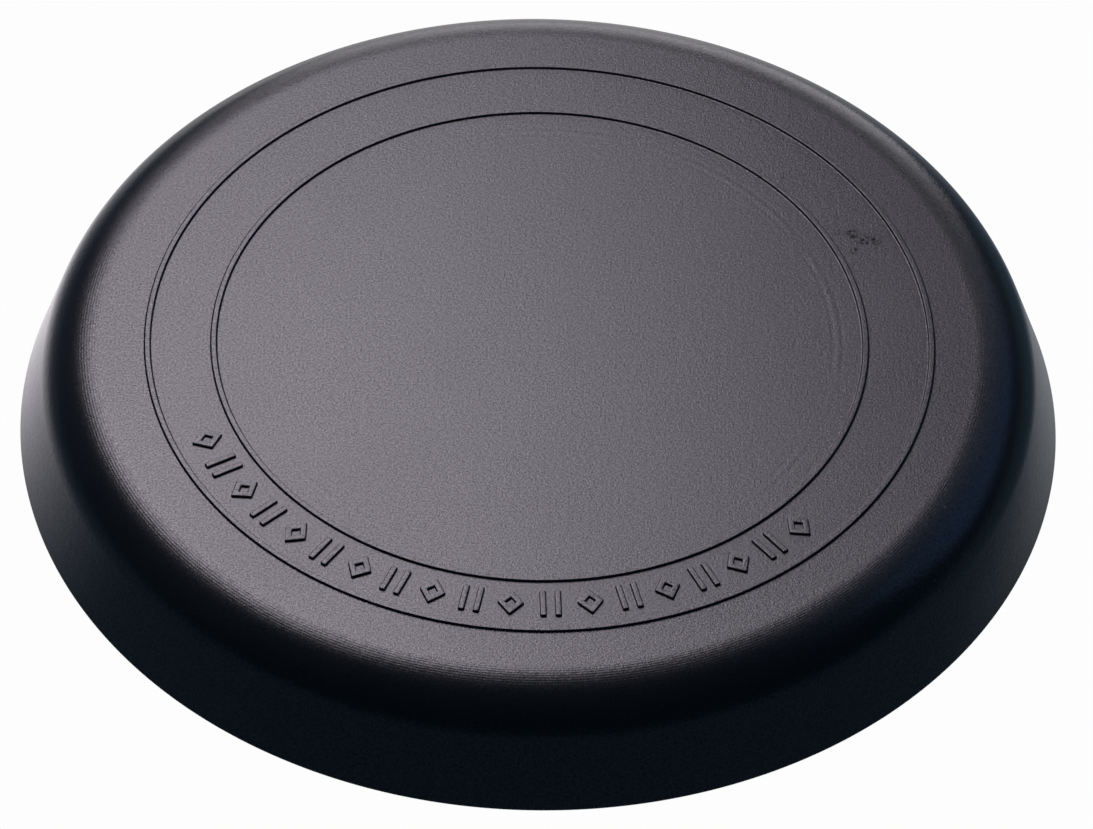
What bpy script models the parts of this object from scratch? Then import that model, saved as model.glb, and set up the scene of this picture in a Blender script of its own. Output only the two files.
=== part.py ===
"""A 10 inch rubber practice pad.

A moulded rubber cover, with two raised rings and a band of raised marks on its playing face, is
stretched over a foam disc and a round board. Under the board are a threaded insert for a stand and
four screwed rubber feet. Nothing on it moves.

Metres, +Z up. The origin is the centre of the base, on the surface that the pad stands on, and the
marks are on the -Y side. Heights named HEIGHT or BOTTOM are above that surface.
"""

import math

import bmesh
import bpy

MM = 0.001
GAP = 0.3 * MM
MERGE = 0.01 * MM
CUT_MARGIN = 1.0 * MM
SMOOTH_ANGLE = math.radians(35)

# Cover, outside
BASE_RADIUS = 127.0 * MM
PLAY_HEIGHT = 29.0 * MM
PLAY_RADIUS = 106.4 * MM
SHOULDER_ROUND = 15.75 * MM
LIP_ROUND = 0.8 * MM

# Cover, inside
CEILING_HEIGHT = 23.6 * MM
INSIDE_RADIUS = 112.8 * MM
BEAD_RADIUS = 108.5 * MM
BEAD_CHAMFER = 0.8 * MM

# Raised rings and marks on the playing face
RELIEF = 0.6 * MM
RELIEF_ROOT = 0.6 * MM
RING_RADII = (79.3 * MM, 95.4 * MM)
RING_TOP_WIDTH = 1.3 * MM
RING_FLANK = 0.3 * MM
STROKE = 1.6 * MM
MARK_RADIUS = 87.1 * MM
MARK_HEIGHT = 8.0 * MM
MARK_WIDTH = 6.6 * MM
BAR_SPACING = 3.6 * MM
MARK_COUNT = 19
MARK_MIDDLE = math.radians(-100)
MARK_SPREAD = math.radians(112)

# Board and foam
BOARD_BOTTOM = 7.0 * MM
BOARD_TOP = 19.0 * MM
BOARD_RADIUS = 112.5 * MM
BOARD_CHAMFER = 0.8 * MM
DISC_RADIUS = 112.0 * MM
UNDERSIDE = BOARD_BOTTOM - GAP

# Threaded insert
THREAD_RADIUS = 4.0 * MM
BARREL_RADIUS = 7.0 * MM
BARREL_TOP = 17.0 * MM
FLANGE_RADIUS = 27.0 * MM
FLANGE_THICKNESS = 2.5 * MM
FLANGE_CHAMFER = 0.4 * MM
FLANGE_BOTTOM = UNDERSIDE - FLANGE_THICKNESS
INSERT_SCREW_CIRCLE = 19.0 * MM

# Feet and their washers
FOOT_CIRCLE = 90.0 * MM
FOOT_TOP_RADIUS = 10.0 * MM
FOOT_BOTTOM_RADIUS = 9.2 * MM
FOOT_ROUND = 0.8 * MM
FOOT_RECESS_RADIUS = 5.4 * MM
FOOT_RECESS_DEPTH = 4.0 * MM
FOOT_HOLE_RADIUS = 2.4 * MM
WASHER_RADIUS = 5.0 * MM
WASHER_HOLE_RADIUS = 2.2 * MM
WASHER_THICKNESS = 0.8 * MM

# Screws: head down, tip up
SHANK_RADIUS = 1.75 * MM
TIP_LENGTH = 3.0 * MM
SCREW_TIP_HEIGHT = 16.0 * MM
FLAT_HEAD_RADIUS = 3.7 * MM
FLAT_HEAD_RIM = 0.3 * MM
PAN_HEAD_RADIUS = 3.6 * MM
PAN_HEAD_THICKNESS = 1.8 * MM
DRIVE_WIDTH = 0.9 * MM
DRIVE_SPAN = 3.8 * MM
DRIVE_DEPTH = 1.1 * MM

# How finely round pieces are divided
COVER_SEGMENTS = 72
BOARD_SEGMENTS = 64
INSERT_SEGMENTS = 32
SMALL_SEGMENTS = 24
SCREW_SEGMENTS = 16


def clear_scene():
    """Removes whatever the scene holds, such as Blender's default cube."""
    for thing in list(bpy.data.objects):
        bpy.data.objects.remove(thing)


def new_collection(name):
    """An empty collection in the scene."""
    collection = bpy.data.collections.new(name)
    bpy.context.scene.collection.children.link(collection)
    return collection


def new_material(name, colour, roughness, metallic=0.0):
    """A Principled material of one colour."""
    material = bpy.data.materials.new(name)
    material.use_nodes = True
    shader = material.node_tree.nodes["Principled BSDF"]
    shader.inputs["Base Color"].default_value = (*colour, 1.0)
    shader.inputs["Roughness"].default_value = roughness
    shader.inputs["Metallic"].default_value = metallic
    return material


clear_scene()
PARTS = new_collection("practice_pad")
CUTTERS = new_collection("cutters")
ROOT = bpy.data.objects.new("pad_root", None)
PARTS.objects.link(ROOT)


def add_part(thing, material):
    """Puts an object among the pad's parts, with its material."""
    thing.parent = ROOT
    thing.data.materials.append(material)
    PARTS.objects.link(thing)
    return thing


def add_cutter(thing):
    """Keeps an object as a hidden tool for Boolean modifiers."""
    CUTTERS.objects.link(thing)
    thing.hide_render = True
    thing.display_type = "WIRE"
    return thing


def boolean(target, tool, operation):
    """Cuts a tool out of the target, or joins it on."""
    modifier = target.modifiers.new(tool.name, "BOOLEAN")
    modifier.operation = operation
    modifier.solver = "EXACT"
    modifier.use_self = True
    modifier.object = tool


def turned(name, profile, segments):
    """A solid turned about Z from (radius, height) points that run down its outer side.

    A profile that starts on the axis also ends on it, and any other one closes into a ring.
    """
    edges = [(index, index + 1) for index in range(len(profile) - 1)]
    if profile[0][0] > 0.0:
        edges.append((len(profile) - 1, 0))
    mesh = bpy.data.meshes.new(name)
    mesh.from_pydata([(radius, 0.0, height) for radius, height in profile], edges, [])
    thing = bpy.data.objects.new(name, mesh)
    spin = thing.modifiers.new("spin", "SCREW")
    spin.angle = math.tau
    spin.steps = segments
    spin.render_steps = segments
    spin.use_merge_vertices = True
    spin.merge_threshold = MERGE
    return thing


def box_cross(name, width, span, low, high):
    """Two upright bars that cross on the Z axis, for a screw's cross recess."""
    mesh = bpy.data.meshes.new(name)
    shape = bmesh.new()
    for sizes in ((span, width), (width, span)):
        corners = bmesh.ops.create_cube(shape, size=1.0)["verts"]
        bmesh.ops.scale(shape, vec=(*sizes, high - low), verts=corners)
        bmesh.ops.translate(shape, vec=(0.0, 0.0, (low + high) / 2), verts=corners)
    shape.to_mesh(mesh)
    shape.free()
    return bpy.data.objects.new(name, mesh)


def flat_prisms(name, outlines, bottom, top):
    """Upright prisms on flat outlines; an outline inside another is a hole in it."""
    curve = bpy.data.curves.new(name, "CURVE")
    curve.dimensions = "2D"
    curve.fill_mode = "BOTH"
    curve.extrude = (top - bottom) / 2
    for outline in outlines:
        spline = curve.splines.new("POLY")
        spline.points.add(len(outline) - 1)
        for point, (x, y) in zip(spline.points, outline):
            point.co = (x, y, 0.0, 1.0)
        spline.use_cyclic_u = True
    drawn = bpy.data.objects.new(name, curve)
    drawn.location.z = (bottom + top) / 2
    CUTTERS.objects.link(drawn)
    bpy.context.view_layer.update()
    mesh = bpy.data.meshes.new_from_object(drawn.evaluated_get(bpy.context.evaluated_depsgraph_get()))
    mesh.transform(drawn.matrix_world)
    bpy.data.objects.remove(drawn)
    shape = bmesh.new()
    shape.from_mesh(mesh)
    bmesh.ops.remove_doubles(shape, verts=shape.verts, dist=MERGE)
    bmesh.ops.recalc_face_normals(shape, faces=shape.faces)
    shape.to_mesh(mesh)
    shape.free()
    return bpy.data.objects.new(name, mesh)


def ellipse_arc(centre, radii, start, end, steps):
    """(radius, height) points along an ellipse; 0 degrees points outwards and 90 up."""
    points = []
    for index in range(steps + 1):
        angle = math.radians(start + (end - start) * index / steps)
        radius = centre[0] + radii[0] * math.cos(angle)
        height = centre[1] + radii[1] * math.sin(angle)
        points.append((radius, height))
    return points


def ring_profile(middle):
    """A raised ring's section, from its inner foot to its outer one."""
    crest = RING_TOP_WIDTH / 2
    foot = crest + RING_FLANK
    return [
        (middle - foot, PLAY_HEIGHT),
        (middle - crest, PLAY_HEIGHT + RELIEF),
        (middle + crest, PLAY_HEIGHT + RELIEF),
        (middle + foot, PLAY_HEIGHT),
    ]


def skirt_angle():
    """How far above level the skirt's normal points, in degrees; the skirt touches both rounds."""
    run = BASE_RADIUS - LIP_ROUND - PLAY_RADIUS
    drop = PLAY_HEIGHT - SHOULDER_ROUND - LIP_ROUND
    turn = math.acos((SHOULDER_ROUND - LIP_ROUND) / math.hypot(run, drop))
    return math.degrees(turn - math.atan2(drop, run))


def cover_profile():
    """The cover's section: over the face, down the outside, under the lip and up the inside."""
    shoulder = (PLAY_RADIUS, PLAY_HEIGHT - SHOULDER_ROUND)
    lip = (BASE_RADIUS - LIP_ROUND, LIP_ROUND)
    angle = skirt_angle()
    profile = [(0.0, PLAY_HEIGHT)]
    for middle in RING_RADII:
        profile += ring_profile(middle)
    profile += ellipse_arc(shoulder, (SHOULDER_ROUND, SHOULDER_ROUND), 90, angle, 10)
    profile += ellipse_arc(lip, (LIP_ROUND, LIP_ROUND), angle, 0, 1)
    profile += ellipse_arc(lip, (LIP_ROUND, LIP_ROUND), 0, -90, 3)[1:]
    profile += [
        (BEAD_RADIUS + BEAD_CHAMFER, 0.0),
        (BEAD_RADIUS, BEAD_CHAMFER),
        (BEAD_RADIUS, UNDERSIDE - BEAD_CHAMFER),
        (BEAD_RADIUS + BEAD_CHAMFER, UNDERSIDE),
        (INSIDE_RADIUS, UNDERSIDE),
        (INSIDE_RADIUS, CEILING_HEIGHT),
        (0.0, CEILING_HEIGHT),
    ]
    return profile


def placed(outline, angle):
    """An outline drawn about (0, 0), with Y pointing outwards, moved onto the circle of marks."""
    points = []
    for across, outward in outline:
        radius = MARK_RADIUS + outward
        x = radius * math.cos(angle) - across * math.sin(angle)
        y = radius * math.sin(angle) + across * math.cos(angle)
        points.append((x, y))
    return points


def lozenge(width, height):
    """A diamond outline about (0, 0)."""
    return [(width / 2, 0.0), (0.0, height / 2), (-width / 2, 0.0), (0.0, -height / 2)]


def bar(across):
    """An upright bar's outline, to one side of (0, 0)."""
    left = across - STROKE / 2
    right = across + STROKE / 2
    reach = MARK_HEIGHT / 2
    return [(right, -reach), (right, reach), (left, reach), (left, -reach)]


def mark_outlines():
    """Open lozenges and pairs of bars, turn about, evenly spaced along the arc."""
    slant = math.hypot(MARK_WIDTH, MARK_HEIGHT)
    inner_width = MARK_WIDTH - 2 * STROKE * slant / MARK_HEIGHT
    inner_height = MARK_HEIGHT - 2 * STROKE * slant / MARK_WIDTH
    pair = [bar(-BAR_SPACING / 2), bar(BAR_SPACING / 2)]
    open_lozenge = [lozenge(MARK_WIDTH, MARK_HEIGHT), lozenge(inner_width, inner_height)]
    outlines = []
    for index in range(MARK_COUNT):
        angle = MARK_MIDDLE + MARK_SPREAD * (index / (MARK_COUNT - 1) - 0.5)
        for outline in pair if index % 2 else open_lozenge:
            outlines.append(placed(outline, angle))
    return outlines


def make_cover(material):
    """The rubber cover with its raised rings and marks."""
    cover = turned("rubber_cover", cover_profile(), COVER_SEGMENTS)
    marks = flat_prisms("marks", mark_outlines(), PLAY_HEIGHT - RELIEF_ROOT, PLAY_HEIGHT + RELIEF)
    boolean(cover, add_cutter(marks), "UNION")
    return add_part(cover, material)


def make_disc(material):
    """The foam disc that lies on the board and deadens the sound."""
    top = CEILING_HEIGHT - GAP
    bottom = BOARD_TOP + GAP
    profile = [(0.0, top), (DISC_RADIUS, top), (DISC_RADIUS, bottom), (0.0, bottom)]
    return add_part(turned("damping_disc", profile, BOARD_SEGMENTS), material)


def screw_places(circle, first_angle):
    """Four (x, y) places on a circle, a quarter turn apart."""
    places = []
    for quarter in range(4):
        angle = math.radians(first_angle + 90 * quarter)
        places.append((circle * math.cos(angle), circle * math.sin(angle)))
    return places


INSERT_SCREW_PLACES = screw_places(INSERT_SCREW_CIRCLE, 45)
FOOT_PLACES = screw_places(FOOT_CIRCLE, 45)


def make_board(material):
    """The round board, bored for the insert's barrel and drilled for the screws."""
    profile = [
        (BARREL_RADIUS + GAP, BOARD_TOP),
        (BOARD_RADIUS - BOARD_CHAMFER, BOARD_TOP),
        (BOARD_RADIUS, BOARD_TOP - BOARD_CHAMFER),
        (BOARD_RADIUS, BOARD_BOTTOM + BOARD_CHAMFER),
        (BOARD_RADIUS - BOARD_CHAMFER, BOARD_BOTTOM),
        (BARREL_RADIUS + GAP, BOARD_BOTTOM),
    ]
    board = turned("base_board", profile, BOARD_SEGMENTS)
    pilot = [
        (0.0, SCREW_TIP_HEIGHT + GAP),
        (SHANK_RADIUS + GAP, SCREW_TIP_HEIGHT + GAP),
        (SHANK_RADIUS + GAP, BOARD_BOTTOM - CUT_MARGIN),
        (0.0, BOARD_BOTTOM - CUT_MARGIN),
    ]
    for index, (x, y) in enumerate(INSERT_SCREW_PLACES + FOOT_PLACES, start=1):
        hole = turned(f"pilot_hole_{index}", pilot, SCREW_SEGMENTS)
        hole.location = (x, y, 0.0)
        boolean(board, add_cutter(hole), "DIFFERENCE")
    return add_part(board, material)


def flat_head(clearance, bottom):
    """A countersunk screw's section from its tip down to its head, grown by a clearance."""
    tip = SCREW_TIP_HEIGHT + clearance
    shank = SHANK_RADIUS + clearance
    rim = FLAT_HEAD_RADIUS + clearance
    cone_foot = FLANGE_BOTTOM + FLAT_HEAD_RIM
    return [
        (0.0, tip),
        (shank, tip - TIP_LENGTH),
        (shank, cone_foot + rim - shank),
        (rim, cone_foot),
        (rim, bottom),
        (0.0, bottom),
    ]


def pan_head():
    """A pan head screw's section, from its tip to its domed head."""
    head_top = FOOT_RECESS_DEPTH - WASHER_THICKNESS - 2 * GAP
    dome = ellipse_arc((0.0, head_top), (PAN_HEAD_RADIUS, -PAN_HEAD_THICKNESS), 20, 90, 4)
    return [
        (0.0, SCREW_TIP_HEIGHT),
        (SHANK_RADIUS, SCREW_TIP_HEIGHT - TIP_LENGTH),
        (SHANK_RADIUS, head_top),
        (PAN_HEAD_RADIUS, head_top),
        *dome,
    ]


def make_screw(name, profile, place, drive_bottom, material):
    """A screw with a cross recess in its head."""
    screw = turned(name, profile, SCREW_SEGMENTS)
    screw.location = (*place, 0.0)
    low = drive_bottom - CUT_MARGIN
    drive = box_cross(f"{name}_drive", DRIVE_WIDTH, DRIVE_SPAN, low, drive_bottom + DRIVE_DEPTH)
    drive.location = screw.location
    boolean(screw, add_cutter(drive), "DIFFERENCE")
    return add_part(screw, material)


def make_insert(steel, screw_steel):
    """The flanged insert that takes a stand's M8 stud, and its four countersunk screws."""
    profile = [
        (THREAD_RADIUS, BARREL_TOP),
        (BARREL_RADIUS, BARREL_TOP),
        (BARREL_RADIUS, UNDERSIDE),
        (FLANGE_RADIUS, UNDERSIDE),
        (FLANGE_RADIUS, FLANGE_BOTTOM + FLANGE_CHAMFER),
        (FLANGE_RADIUS - FLANGE_CHAMFER, FLANGE_BOTTOM),
        (THREAD_RADIUS + FLANGE_CHAMFER, FLANGE_BOTTOM),
        (THREAD_RADIUS, FLANGE_BOTTOM + FLANGE_CHAMFER),
    ]
    insert = turned("stand_insert", profile, INSERT_SEGMENTS)
    countersink = flat_head(GAP, FLANGE_BOTTOM - CUT_MARGIN)
    head = flat_head(0.0, FLANGE_BOTTOM)
    for index, place in enumerate(INSERT_SCREW_PLACES, start=1):
        hole = turned(f"countersink_{index}", countersink, SCREW_SEGMENTS)
        hole.location = (*place, 0.0)
        boolean(insert, add_cutter(hole), "DIFFERENCE")
        make_screw(f"insert_screw_{index}", head, place, FLANGE_BOTTOM, screw_steel)
    return add_part(insert, steel)


def make_feet(rubber, steel, screw_steel):
    """Four rubber feet, each with a washer and a pan head screw in its recess."""
    round_centre = (FOOT_BOTTOM_RADIUS - FOOT_ROUND, FOOT_ROUND)
    foot_profile = [
        (FOOT_HOLE_RADIUS, UNDERSIDE),
        (FOOT_TOP_RADIUS, UNDERSIDE),
        *ellipse_arc(round_centre, (FOOT_ROUND, FOOT_ROUND), 0, -90, 3),
        (FOOT_RECESS_RADIUS, 0.0),
        (FOOT_RECESS_RADIUS, FOOT_RECESS_DEPTH),
        (FOOT_HOLE_RADIUS, FOOT_RECESS_DEPTH),
    ]
    washer_top = FOOT_RECESS_DEPTH - GAP
    washer_bottom = washer_top - WASHER_THICKNESS
    washer_profile = [
        (WASHER_HOLE_RADIUS, washer_top),
        (WASHER_RADIUS, washer_top),
        (WASHER_RADIUS, washer_bottom),
        (WASHER_HOLE_RADIUS, washer_bottom),
    ]
    head_bottom = washer_bottom - GAP - PAN_HEAD_THICKNESS
    for index, place in enumerate(FOOT_PLACES, start=1):
        foot = turned(f"foot_{index}", foot_profile, SMALL_SEGMENTS)
        washer = turned(f"foot_washer_{index}", washer_profile, SMALL_SEGMENTS)
        for thing in (foot, washer):
            thing.location = (*place, 0.0)
        add_part(foot, rubber)
        add_part(washer, steel)
        make_screw(f"foot_screw_{index}", pan_head(), place, head_bottom, screw_steel)


def finish_parts():
    """Applies each part's modifiers and shades it smooth, with its real corners kept sharp."""
    bpy.context.view_layer.update()
    depsgraph = bpy.context.evaluated_depsgraph_get()
    finished = {}
    for part in PARTS.objects:
        if part.type == "MESH":
            finished[part] = bpy.data.meshes.new_from_object(part.evaluated_get(depsgraph))
    for part, mesh in finished.items():
        part.modifiers.clear()
        part.data = mesh
        mesh.name = part.name
        mesh.shade_smooth()
        mesh.set_sharp_from_angle(angle=SMOOTH_ANGLE)


def main():
    """Builds the pad."""
    cover_rubber = new_material("cover_rubber", (0.020, 0.020, 0.023), 0.55)
    foot_rubber = new_material("foot_rubber", (0.015, 0.015, 0.016), 0.7)
    foam = new_material("foam", (0.06, 0.06, 0.065), 0.95)
    board = new_material("fibreboard", (0.36, 0.23, 0.13), 0.8)
    zinc = new_material("zinc_steel", (0.62, 0.62, 0.60), 0.35, 1.0)
    screw_steel = new_material("screw_steel", (0.55, 0.55, 0.54), 0.3, 1.0)
    make_cover(cover_rubber)
    make_disc(foam)
    make_board(board)
    make_insert(zinc, screw_steel)
    make_feet(foot_rubber, zinc, screw_steel)
    finish_parts()


main()
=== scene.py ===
"""The looks of a rubber practice pad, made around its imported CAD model.

Every piece is finer than its CAD node and stands in the same place. The rubber cover carries two
raised rings and a band of raised marks; the foam, the fittings and the feet are underneath. Nothing
moves, so every piece rides on the body "root". Metres, +Z up, marks on the -Y side.
"""

import math

import bmesh
import bpy
from mathutils import Matrix, Vector


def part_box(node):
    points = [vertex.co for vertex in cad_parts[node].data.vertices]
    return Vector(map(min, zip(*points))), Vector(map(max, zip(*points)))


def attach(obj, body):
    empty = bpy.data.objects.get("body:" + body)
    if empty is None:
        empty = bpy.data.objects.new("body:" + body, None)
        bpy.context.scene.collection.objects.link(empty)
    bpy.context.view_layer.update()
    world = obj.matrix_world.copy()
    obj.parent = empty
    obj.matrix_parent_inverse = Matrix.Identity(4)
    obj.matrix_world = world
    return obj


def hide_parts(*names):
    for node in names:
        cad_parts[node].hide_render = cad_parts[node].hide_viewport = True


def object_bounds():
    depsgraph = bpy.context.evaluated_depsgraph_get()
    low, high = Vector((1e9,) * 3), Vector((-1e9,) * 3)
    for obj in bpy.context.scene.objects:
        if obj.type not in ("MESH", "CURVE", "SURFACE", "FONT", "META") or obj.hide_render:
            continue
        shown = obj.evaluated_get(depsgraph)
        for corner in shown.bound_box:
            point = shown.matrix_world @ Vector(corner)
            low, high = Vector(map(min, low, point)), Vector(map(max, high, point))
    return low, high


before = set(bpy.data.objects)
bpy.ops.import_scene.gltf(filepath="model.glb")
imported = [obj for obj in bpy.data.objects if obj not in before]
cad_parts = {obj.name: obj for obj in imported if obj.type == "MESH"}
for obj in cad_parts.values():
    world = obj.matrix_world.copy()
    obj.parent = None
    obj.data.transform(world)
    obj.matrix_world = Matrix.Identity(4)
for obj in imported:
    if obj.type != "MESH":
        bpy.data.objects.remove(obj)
CAD_LOW, CAD_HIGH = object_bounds()

MM = 0.001
MERGE = 0.01 * MM
CUT_MARGIN = 1.0 * MM

# The CAD nodes' own boxes, which everything below is measured from
COVER_LOW, COVER_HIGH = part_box("rubber_cover")
BOARD_LOW, BOARD_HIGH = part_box("base_board")
DISC_LOW, DISC_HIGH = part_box("damping_disc")
INSERT_LOW, INSERT_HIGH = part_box("stand_insert")
INSERT_SCREW_LOW, INSERT_SCREW_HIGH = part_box("insert_screw_1")
FOOT_LOW, FOOT_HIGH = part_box("foot_1")
WASHER_LOW, WASHER_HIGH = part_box("foot_washer_1")
FOOT_SCREW_LOW, FOOT_SCREW_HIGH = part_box("foot_screw_1")
GAP = 0.3 * MM

# Cover, outside
BASE_RADIUS = COVER_HIGH.x
RELIEF = 0.6 * MM
PLAY_HEIGHT = COVER_HIGH.z - RELIEF
PLAY_RADIUS = 106.4 * MM
SHOULDER_ROUND = 15.75 * MM
LIP_ROUND = 0.8 * MM

# Cover, underneath and inside
CEILING_HEIGHT = DISC_HIGH.z + GAP
INSIDE_RADIUS = BOARD_HIGH.x + GAP
BEAD_RADIUS = 108.5 * MM
BEAD_ROUND = 0.8 * MM
UNDERSIDE = BOARD_LOW.z - GAP
GRIP_GROOVES = (114.0 * MM, 117.5 * MM, 121.0 * MM)
GRIP_GROOVE_WIDTH = 1.0 * MM
GRIP_GROOVE_DEPTH = 0.5 * MM

# Raised rings and marks on the playing face
RING_RADII = (79.3 * MM, 95.4 * MM)
RING_TOP_WIDTH = 1.2 * MM
RING_FLANK = 0.2 * MM
EDGE_ROUND = 0.18 * MM
MARK_ROUND = 0.35 * MM
SUPPORT_GAP = 0.15 * MM
RELIEF_ROOT = 0.6 * MM
STROKE = 1.6 * MM
MARK_RADIUS = 87.1 * MM
MARK_HEIGHT = 8.0 * MM
MARK_WIDTH = 6.6 * MM
BAR_SPACING = 3.6 * MM
MARK_COUNT = 19
MARK_MIDDLE = math.radians(-100)
MARK_SPREAD = math.radians(112)

# Board, foam and fittings
SOFT_EDGE = 0.5 * MM
BARREL_RADIUS = 7.0 * MM
FLANGE_EDGE = 0.4 * MM
THREAD_MAJOR = 4.0 * MM
THREAD_MINOR = 3.4 * MM
THREAD_PITCH = 1.25 * MM
THREAD_RUN_OUT = 1.0 * MM
FOOT_BOTTOM_RADIUS = 9.2 * MM
FOOT_RECESS_RADIUS = 5.4 * MM
FOOT_RECESS_DEPTH = 4.0 * MM
FOOT_HOLE_RADIUS = 2.4 * MM
FOOT_GROOVES = (6.7 * MM, 7.9 * MM)
FOOT_GROOVE_WIDTH = GRIP_GROOVE_WIDTH / 2
WASHER_HOLE_RADIUS = 2.2 * MM
WASHER_EDGE = 0.12 * MM

# Screws: head down, tip up
SCREW_ROOT = 1.25 * MM
SCREW_CREST = 1.9 * MM
SCREW_PITCH = 1.8 * MM
SCREW_RUN_OUT = 1.2 * MM
SHANK_RADIUS = 1.75 * MM
NECK_LENGTH = 1.0 * MM
TIP_LENGTH = 3.0 * MM
HEAD_EDGE = 0.1 * MM
FLAT_HEAD_RIM = 0.3 * MM
PAN_HEAD_THICKNESS = 1.8 * MM
DRIVE_WIDTH = 1.05 * MM
DRIVE_SPAN = 5.0 * MM
DRIVE_DEPTH = 1.3 * MM
DRIVE_TAPER = 0.5

# How far the four pieces of a kind are turned about their own axes, in degrees
FIRST_TURNS = (17.0, 52.0, 71.0, 33.0)
SECOND_TURNS = (8.0, 64.0, 40.0, 83.0)

# Wear and mould marks on the rubber; a scale is how many patches of noise a metre holds
TURNED_BAND = (106.4 * MM, 108.0 * MM, 111.5 * MM, 113.0 * MM)
TURNED_PITCH = 0.65 * MM
RUBBED_BAND = (70.0 * MM, 71.2 * MM, 73.6 * MM, 74.8 * MM)
RUBBED_PITCH = 2.4 * MM
SCUFFS = (
    ((75.0 * MM, 38.5 * MM, PLAY_HEIGHT), 4.5 * MM),
    ((80.5 * MM, 36.0 * MM, PLAY_HEIGHT), 4.0 * MM),
    ((77.0 * MM, 32.5 * MM, PLAY_HEIGHT), 1.8 * MM),
    ((60.0 * MM, 57.0 * MM, PLAY_HEIGHT), 1.8 * MM),
)
SCUFF_CORE = 0.3
TURNED_DEPTH = 0.0065 * MM
RUBBED_DEPTH = 0.011 * MM
RUBBED_WANDER = 0.7 * MM
TORN_DEPTH = 0.08 * MM
MOTTLE_DEPTH = 0.05 * MM
GRAIN_DEPTH = 0.07 * MM
GRAIN_SCALE = 2000.0
MOTTLE_SCALE = 620.0
PATCH_SCALE = 22.0
SPECK_SCALE = 420.0
DUST_RARITY = 0.985
TORN_RARITY = 0.992

# The cover's colours and gloss; its shoulder is smoother than its face
RUBBER_DARK = (0.0050, 0.0060, 0.0075)
RUBBER_BLOOM = (0.0080, 0.0080, 0.0095)
DUST_COLOUR = (0.06, 0.058, 0.062)
FACE_ROUGHNESS = (0.335, 0.375)
FACE_SHINE = (0.18, 0.82)
TORN_SHINE = 0.05
SHOULDER_ROUGHNESS = 0.66
SHOULDER_GRAIN = 0.35
GRAIN_FADE = (PLAY_RADIUS - 1.0 * MM, PLAY_RADIUS + 4.0 * MM)
GLOSS_RISE = (PLAY_RADIUS + 4.0 * MM, PLAY_RADIUS + 9.0 * MM)

# Colours of the feet, the foam and the board, and the directions of its fibres in degrees
FOOT_BLACK = (0.012, 0.012, 0.013)
FOOT_WORN = (0.035, 0.034, 0.033)
FOAM_PALE = (0.075, 0.075, 0.080)
FOAM_DARK = (0.035, 0.035, 0.040)
FIBRE_DARK = (0.26, 0.160, 0.084)
FIBRE_PALE = (0.41, 0.275, 0.158)
FIBRE_STAIN = (0.30, 0.190, 0.105)
FIBRE_FLECK = (0.12, 0.070, 0.040)
FIBRE_TURNS = (15.0, 77.0, 139.0)

# Plated steels: colours, roughness, and the pitch of the lathe's turning lines
ZINC_STEEL = {
    "bright": (0.64, 0.64, 0.62),
    "dull": (0.52, 0.52, 0.49),
    "low_roughness": 0.28,
    "high_roughness": 0.42,
    "turning": 0.35 * MM,
}
SCREW_STEEL = {
    "bright": (0.58, 0.58, 0.57),
    "dull": (0.44, 0.44, 0.43),
    "low_roughness": 0.24,
    "high_roughness": 0.36,
    "turning": 0.25 * MM,
}

# Camera: at the photograph's angle, a little off the pad's middle
CAMERA_ELEVATION = math.radians(46.35)
CAMERA_ROLL = math.radians(-1.092)
CAMERA_DISTANCE = 17.95 * BASE_RADIUS
CAMERA_LENS = 305.8
CAMERA_SENSOR = 36.0
CAMERA_REACH = 100.0
AIM_RIGHT = 0.0156 * BASE_RADIUS
AIM_UP = 0.0160 * BASE_RADIUS

# Lights: how far round to the left of straight behind, how high, how far, how large, how bright
KEY_LIGHT = {"left": 23.2, "height": 55.2, "distance": 0.617, "size": (0.393, 0.386), "glow": 7.35}
KEY_TINT = (1.04, 0.95, 1.07)
BACK_LIGHT = {"left": -5.0, "height": 11.0, "distance": 2.45, "size": (1.50, 0.90), "glow": 2.95}
BACK_TINT = (1.02, 0.97, 1.02)
SIDE_LIGHT = {"left": -62.0, "height": 36.0, "distance": 1.5, "size": (1.3, 1.0), "glow": 0.30}
SIDE_TINT = (0.30, 0.58, 1.20)
UNDER_LIGHT = {"left": 0.0, "height": -65.0, "distance": 0.9, "size": (0.8, 0.8), "glow": 3.0}
UNDER_TINT = (1.0, 1.0, 1.0)
SURROUND = (0.019, 0.040, 0.062)
PALE = 0.982

# What the floor gives back to the rubber, glowing as painted light: dark in front as the pad's
# painted shadow, bright close behind and to the left as painted pools of light, and a painted glow
# under the pad
FLOOR_PAINTED_SHADE = (0.063, 0.106, 0.153)
FLOOR_PAINTED_LEFT_POOL = (2.35, 2.22, 2.35)
FLOOR_PAINTED_RIGHT_POOL = (0.40, 0.42, 0.46)
FLOOR_PAINTED_BACK_LIGHT = (0.50, 0.50, 0.52)
# Painted light: the floor's glow under the pad, which lights the board's underside
FLOOR_PAINTED_UNDER_LIGHT = (0.80, 0.82, 0.84)
FLOOR_PAINTED_FAR_LIGHT = (0.92, 0.90, 0.92)

# Where on the floor that painted light begins and ends, in metres: along X, along Y, or from the
# middle out
LEFT_POOL_RISE = (-0.075, 0.057)
LEFT_POOL_EDGE = (0.080, 0.205)
RIGHT_POOL_RISE = (-0.090, 0.000)
RIGHT_POOL_EDGE = (0.130, 0.152)
MIDDLE_SEAM = (-0.03, 0.03)
BACK_RISE = (0.06, 0.14)
BACK_BAND = (-0.250, -0.100, 0.040, 0.170)
FAR_RISE = (0.12, 0.24)
UNDER_EDGE = (0.100, 0.122)

# The floor's size, and how far it lies below the pad
FLOOR_RADIUS = 9.0
FLOOR_GAP = 0.05 * MM

# Shading: angles in degrees over which an edge is sharp, and how much large faces count
SMOOTH_ANGLE = 35
COVER_SMOOTH_ANGLE = 30
SCREW_SMOOTH_ANGLE = 40
LARGE_FACE_WEIGHT = 80

# Neighbouring faces of a mark whose directions differ by less than this are merged
FLAT_ANGLE = math.radians(1)

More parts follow.
